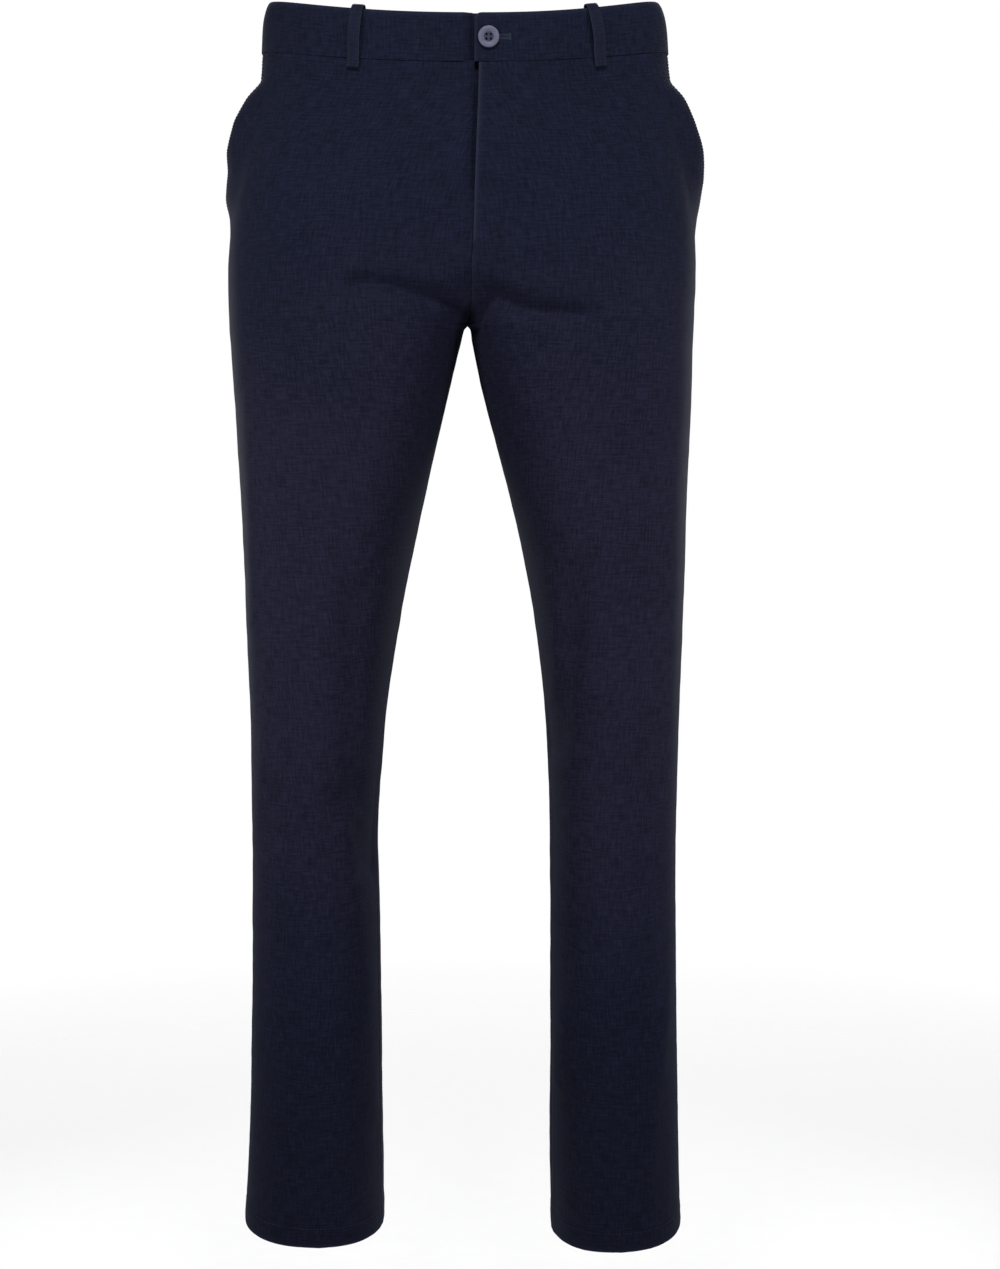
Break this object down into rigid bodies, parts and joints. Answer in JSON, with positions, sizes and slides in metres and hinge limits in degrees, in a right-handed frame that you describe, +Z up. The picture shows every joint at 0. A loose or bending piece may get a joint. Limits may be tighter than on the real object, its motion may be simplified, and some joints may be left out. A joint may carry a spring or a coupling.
{
  "type": "chino trousers",
  "caption": "Straight chino trousers in worn form: flat fronts, open side pockets, a buttoned fly lapped left over right, belt loops and plain hems.",
  "frame": {"origin": "middle of the waist opening, halfway up the waistband at the side seams, where the trousers are held", "axes": "+Z up the body, -Y to the front, +X to the wearer's left"},
  "size_m": [0.4098, 0.2721, 1.0976],
  "materials": {
    "cloth": "matt dark navy cotton twill",
    "zip": "dark woven zip tape with a closed chain",
    "button": "satin grey-mauve resin"
  },
  "bodies": {
    "root": {"front_left": "cloth", "front_right": "cloth", "back_left": "cloth", "back_right": "cloth", "pocket_facing_left": "cloth", "pocket_facing_right": "cloth", "waistband_left": "cloth", "waistband_right": "cloth", "belt_loop_front_left": "cloth", "belt_loop_front_right": "cloth", "belt_loop_side_left": "cloth", "belt_loop_side_right": "cloth", "belt_loop_back": "cloth", "fly_zip": "zip", "waist_button": "button"}
  },
  "joints": []
}
